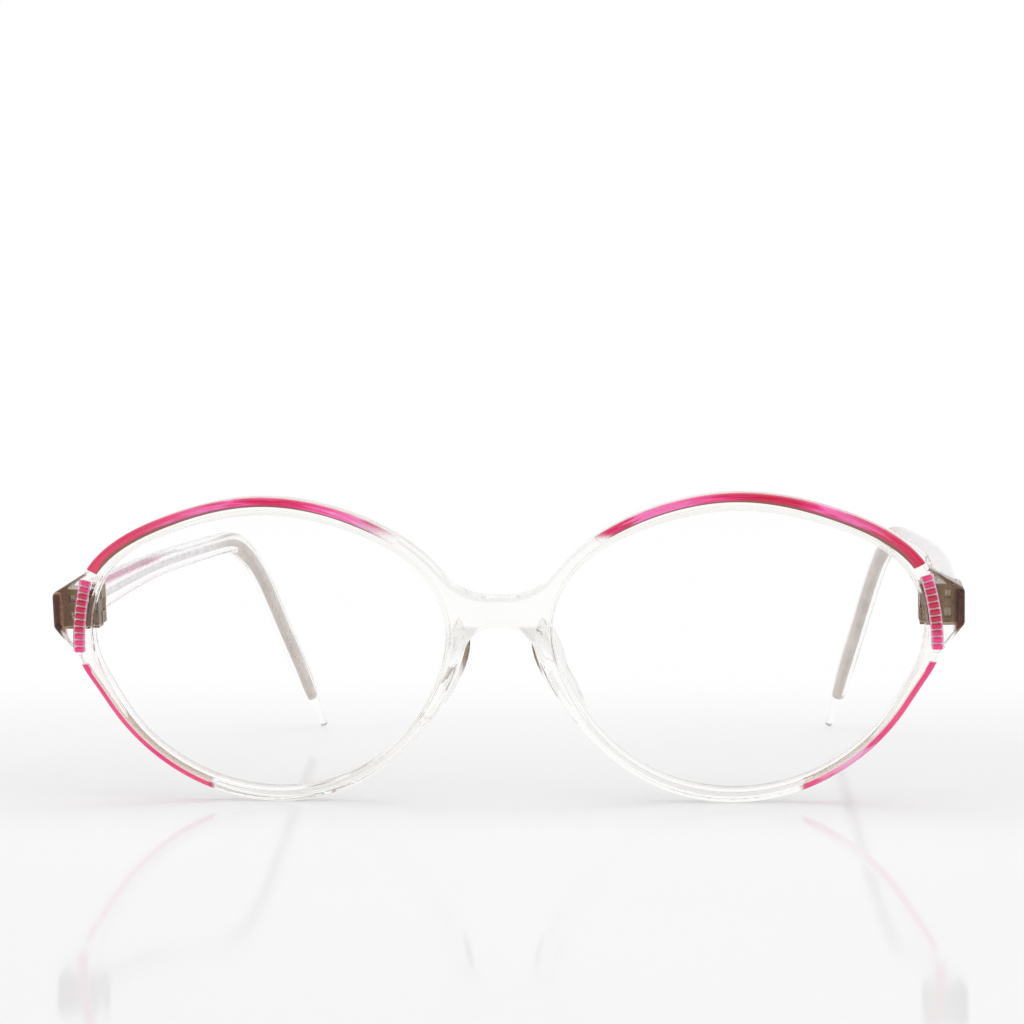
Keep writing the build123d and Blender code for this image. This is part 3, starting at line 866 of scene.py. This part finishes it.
class GLASSES_OT_temples(bpy.types.Operator):
    """Dress the temples with their core wires and stripes"""
    bl_idname = "glasses.temples"
    bl_label = "Temples"

    # Where the core wire takes its ear colour and where the stripe fades out, in millimetres back
    core_turn = (20, 34)
    stripe_end = (-20, 6)

    # The pale streaks of the stripe: the light pink by a share, and lifted
    pale_share = 0.4
    pale_lift = 0.55

    def execute(self, context):
        plastic = context.scene.glasses_plastic
        metals = context.scene.glasses_metal
        colours = context.scene.glasses_enamel
        angle = plastic.smooth_angle
        clear = clear_plastic("Clear temple plastic", plastic.temple_tint, plastic.plastic_ior)
        core = metal(
            "Core metal", metals.core_run, low=0.35, high=0.5,
            far_colour=metals.core_ear, turn=self.core_turn,
        )
        stripe = self.stripe_material(colours)
        for side in SIDES:
            body = "temple_" + side
            # The wire fills its pocket, so the clear copy keeps only its outer shell
            piece = dressed_copy("temple_" + side, "arm_" + side, angle, one_shell=True)
            hand_over(piece, clear, body, "clear_temple", "temple_" + side)
            wire = dressed_copy("core_wire_" + side, "core_" + side, angle)
            hand_over(wire, core, body, "core_metal", "core_wire_" + side)
            line = dressed_copy("temple_stripe_" + side, "arm_stripe_" + side, angle, colours.swell)
            hand_over(line, stripe, body, "pink_enamel", "temple_stripe_" + side)
        return {"FINISHED"}

    def stripe_material(self, colours):
        """Light pink enamel with faint streaks"""
        material, tree = new_material("Stripe enamel")
        shader = node(tree, "ShaderNodeBsdfPrincipled", IOR=1.5, Coat_Weight=0.5)
        pale = tuple(self.pale_share * c + self.pale_lift for c in colours.light)
        streaked = mottled(tree, colours.light, pale, scale=120.0, detail=3.0)
        feed(tree, streaked, shader.inputs["Base Color"])
        start, end = self.stripe_end
        present = drop(tree, back_part(tree, object_place(tree)), start * MM, end * MM)
        feed(tree, present, shader.inputs["Alpha"])
        surface(tree, shader, Wave_scale=260.0, Wave_depth=0.15, Gloss_low=0.05, Gloss_high=0.15)
        finish_shader(tree, shader)
        return material


class GLASSES_OT_stage(bpy.types.Operator):
    """Set the floor, the lamps and the camera"""
    bl_idname = "glasses.stage"
    bl_label = "Stage"

    # Each lamp's place, target, size in metres and the setting of its power
    lamps = {
        "overhead_lamp": ((0.0, 0.05, 0.75), (0, 0, 0), 0.9, "key_power"),
        "left_lamp": ((-0.6, -0.45, 0.35), (0, 0, 0.02), 0.5, "side_power"),
        "right_lamp": ((0.6, -0.45, 0.35), (0, 0, 0.02), 0.5, "side_power"),
    }

    # The camera's focal length and picture width in pixels, its sensor in millimetres and its reach in metres
    focal_pixels = 2466.57
    picture_pixels = 1024
    sensor_mm = 36.0
    near_clip = 0.01
    far_clip = 50

    # The camera's place, in millimetres from the foot of the front, and its directions
    eye_mm = (42.876, -363.703, 46.142)
    ahead = (-0.11245, 0.99362, -0.00792)
    right = (0.99361, 0.11236, -0.01043)

    # Gloss of the floor
    floor_roughness = 0.06
    floor_gloss = 0.2

    # Where the floor turns white, in metres behind the middle and in metres away from it
    white_behind = (-0.02, 0.2)
    white_away = (0.3, 0.9)

    # Where the room turns white, by how far back a ray points
    room_turn = (-0.9, 0.05)

    def execute(self, context):
        scene = context.scene
        stage = scene.glasses_stage
        scene.view_settings.view_transform = "Standard"

        clear_selection()
        bpy.ops.mesh.primitive_plane_add(size=stage.floor_size, location=(0, 0, 0))
        floor = context.object
        floor.name = "floor"
        floor.data.materials.append(self.floor_material(stage))

        self.set_world(scene, stage)
        for name, (place_at, target, size, power) in self.lamps.items():
            self.lamp(name, place_at, target, size, getattr(stage, power))
        self.camera(scene)
        return {"FINISHED"}

    def camera(self, scene):
        """A camera close before the front, a little to the wearer's left"""
        data = bpy.data.cameras.new("camera")
        data.sensor_width = self.sensor_mm
        data.lens = self.sensor_mm * self.focal_pixels / self.picture_pixels
        data.clip_start = self.near_clip
        data.clip_end = self.far_clip
        camera = bpy.data.objects.new("camera", data)
        scene.collection.objects.link(camera)
        eye = FOOT + MM * Vector(self.eye_mm)
        ahead = Vector(self.ahead).normalized()
        right = Vector(self.right).normalized()
        turn = Matrix((right, right.cross(ahead), -ahead)).transposed()
        camera.matrix_world = Matrix.Translation(eye) @ turn.to_4x4()
        scene.camera = camera

    def seen_rays(self, tree):
        """A mask of rays from the camera, and of those that gloss and glass send on"""
        sent = maths(tree, "MAXIMUM", ray(tree, "Is Glossy Ray"), ray(tree, "Is Transmission Ray"))
        return maths(tree, "MAXIMUM", ray(tree, "Is Camera Ray"), sent)

    def floor_material(self, stage):
        """Pale satin board, with a faint reflection, that runs into white further off"""
        material, tree = new_material("Pale board")
        board = tree.nodes.new("ShaderNodeBsdfDiffuse")
        feed(tree, mottled(tree, stage.board_low, stage.board_high, scale=6.0), board.inputs["Color"])
        gloss = node(tree, "ShaderNodeBsdfGlossy", Roughness=self.floor_roughness)
        satin = blended(tree, self.floor_gloss, board, gloss)
        white = node(tree, "ShaderNodeEmission", Strength=1.0)

        spot = object_place(tree)
        behind = product(tree, fade(tree, back_part(tree, spot), *self.white_behind), self.seen_rays(tree))
        reach = node(tree, "ShaderNodeVectorMath", operation="LENGTH")
        feed(tree, spot, reach.inputs[0])
        far = fade(tree, reach.outputs["Value"], *self.white_away)
        away = product(tree, far, ray(tree, "Is Camera Ray"))
        finish_shader(tree, blended(tree, maths(tree, "MAXIMUM", behind, away), satin, white))
        return material

    def set_world(self, scene, stage):
        """White to the camera, a dimmer front of the room to glass and gloss, a soft level elsewhere"""
        world = bpy.data.worlds.new("studio")
        scene.world = world
        world.use_nodes = True
        tree = world.node_tree
        tree.nodes.clear()
        looked = tree.nodes.new("ShaderNodeTexCoord").outputs["Generated"]
        ahead = fade(tree, back_part(tree, looked), *self.room_turn)
        shades = ramp(tree, ahead, [(0.0, stage.room_front), (0.5, stage.room_side), (1.0, WHITE)])
        seen = node(tree, "ShaderNodeBackground")
        feed(tree, mixed(tree, ray(tree, "Is Camera Ray"), shades, WHITE), seen.inputs["Color"])
        lighting = node(tree, "ShaderNodeBackground", Color=(*WHITE, 1), Strength=stage.room_level)
        output = tree.nodes.new("ShaderNodeOutputWorld")
        whole = blended(tree, self.seen_rays(tree), lighting, seen)
        feed(tree, whole.outputs[0], output.inputs["Surface"])

    def lamp(self, name, place_at, target, size, power):
        """One square soft lamp that points at a target"""
        data = bpy.data.lights.new(name, "AREA")
        data.size = size
        data.energy = power
        lamp = bpy.data.objects.new(name, data)
        bpy.context.scene.collection.objects.link(lamp)
        lamp.location = place_at
        lamp.rotation_euler = (Vector(target) - Vector(place_at)).to_track_quat("-Z", "Y").to_euler()
        lamp.visible_glossy = False
        lamp.visible_transmission = False


class GLASSES_PT_panel(bpy.types.Panel):
    """Lists the pieces and the stage in the sidebar"""
    bl_label = "Eyeglasses"
    bl_idname = "GLASSES_PT_panel"
    bl_space_type = "VIEW_3D"
    bl_region_type = "UI"
    bl_category = "Eyeglasses"

    def draw(self, context):
        for operator in OPERATORS:
            self.layout.operator(operator.bl_idname)
        for name in SETTINGS:
            group = getattr(context.scene, name)
            box = self.layout.box()
            for key in group.__annotations__:
                box.prop(group, key)


OPERATORS = (
    GLASSES_OT_front, GLASSES_OT_lenses, GLASSES_OT_bands, GLASSES_OT_ribs,
    GLASSES_OT_hinges, GLASSES_OT_temples, GLASSES_OT_stage,
)
SETTINGS = {
    "glasses_plastic": PlasticSettings,
    "glasses_enamel": EnamelSettings,
    "glasses_metal": MetalSettings,
    "glasses_stage": StageSettings,
}


def register():
    """Registers the classes and gives the scene its settings"""
    for each in (*SETTINGS.values(), *OPERATORS, GLASSES_PT_panel):
        bpy.utils.register_class(each)
    for name, group in SETTINGS.items():
        setattr(bpy.types.Scene, name, PointerProperty(type=group))


def unregister():
    """Takes the settings and the classes away again"""
    for name in SETTINGS:
        delattr(bpy.types.Scene, name)
    for each in (GLASSES_PT_panel, *reversed(OPERATORS), *SETTINGS.values()):
        bpy.utils.unregister_class(each)


def main():
    """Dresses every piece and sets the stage"""
    register()
    bpy.ops.glasses.front()
    bpy.ops.glasses.lenses()
    bpy.ops.glasses.bands()
    bpy.ops.glasses.ribs()
    bpy.ops.glasses.hinges()
    bpy.ops.glasses.temples()
    bpy.ops.glasses.stage()


if __name__ == "__main__":
    main()
